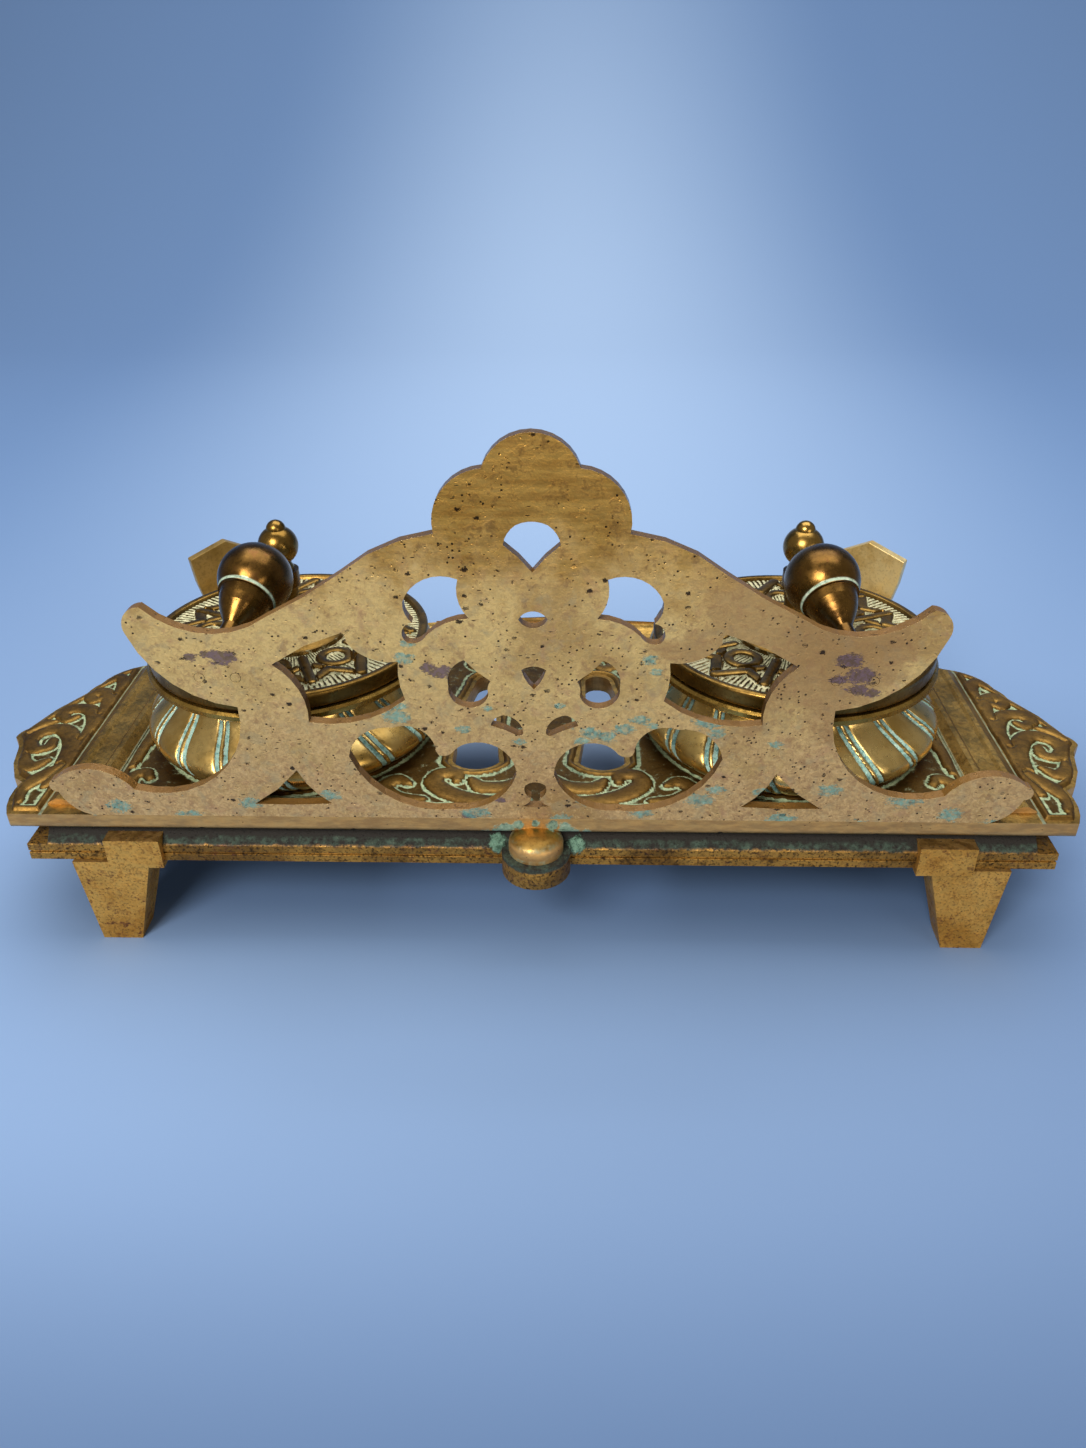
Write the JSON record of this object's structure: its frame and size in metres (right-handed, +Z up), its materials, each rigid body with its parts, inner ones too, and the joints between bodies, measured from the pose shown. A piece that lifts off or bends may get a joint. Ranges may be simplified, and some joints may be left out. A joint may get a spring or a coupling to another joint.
{
  "type": "desk inkstand",
  "caption": "Cast brass desk inkstand: footed tray with pierced gallery back, swirl-lobed ink pots with glass liners, hinged lids with ball finials, pen trough and pen rests.",
  "frame": {"origin": "centre of the bounding box on the desk surface under the feet", "axes": "+Z up, +X along the length, front of the inkstand faces -Y, gallery at the back"},
  "size_m": [0.278, 0.1172, 0.1306],
  "materials": {
    "base_brass": "aged sand-cast brass with verdigris in the joints",
    "tray_brass": "relief-cast brass, pale green patina in the ground",
    "gallery_brass": "matte pitted tan back face with bright filed edges",
    "pot_brass": "polished golden brass with patina in the grooves",
    "lid_brass": "strapwork relief band, patina in the ground, plain rim",
    "turned_brass": "turned and polished, darkened",
    "rest_brass": "flat polished sheet",
    "screw_brass": "dull brass fixings",
    "liner_glass": "pressed clear glass"
  },
  "bodies": {
    "stand": {"base_plate": "base_brass", "foot_back_left": "base_brass", "foot_back_right": "base_brass", "foot_front_left": "base_brass", "foot_front_right": "base_brass", "foot_screws": "screw_brass", "tray": "tray_brass", "tray_screws": "screw_brass", "lug_rivet": "screw_brass", "gallery": "gallery_brass", "gallery_screws": "screw_brass", "pot_left": "pot_brass", "pot_right": "pot_brass", "pot_collar_left": "pot_brass", "pot_collar_right": "pot_brass", "pot_liner_left": "liner_glass", "pot_liner_right": "liner_glass", "pot_bolts": "screw_brass", "pot_nuts": "screw_brass", "hinge_bracket_left": "turned_brass", "hinge_bracket_right": "turned_brass", "bracket_rivets": "screw_brass", "hinge_pin_left": "screw_brass", "hinge_pin_right": "screw_brass", "pen_rest_left": "rest_brass", "pen_rest_right": "rest_brass", "pen_rest_rivets": "screw_brass"},
    "left_lid": {"lid_left": "lid_brass", "lid_arm_left": "turned_brass", "finial_left": "turned_brass", "finial_nut_left": "screw_brass"},
    "right_lid": {"lid_right": "lid_brass", "lid_arm_right": "turned_brass", "finial_right": "turned_brass", "finial_nut_right": "screw_brass"}
  },
  "joints": [
    {"name": "lid_left_hinge", "type": "hinge", "parent": "stand", "child": "left_lid", "pos_m": [-0.0693, 0.041, 0.0815], "axis": [-1, 0, 0], "range_deg": [0, 75]},
    {"name": "lid_right_hinge", "type": "hinge", "parent": "stand", "child": "right_lid", "pos_m": [0.0693, 0.041, 0.0815], "axis": [-1, 0, 0], "range_deg": [0, 75]}
  ]
}
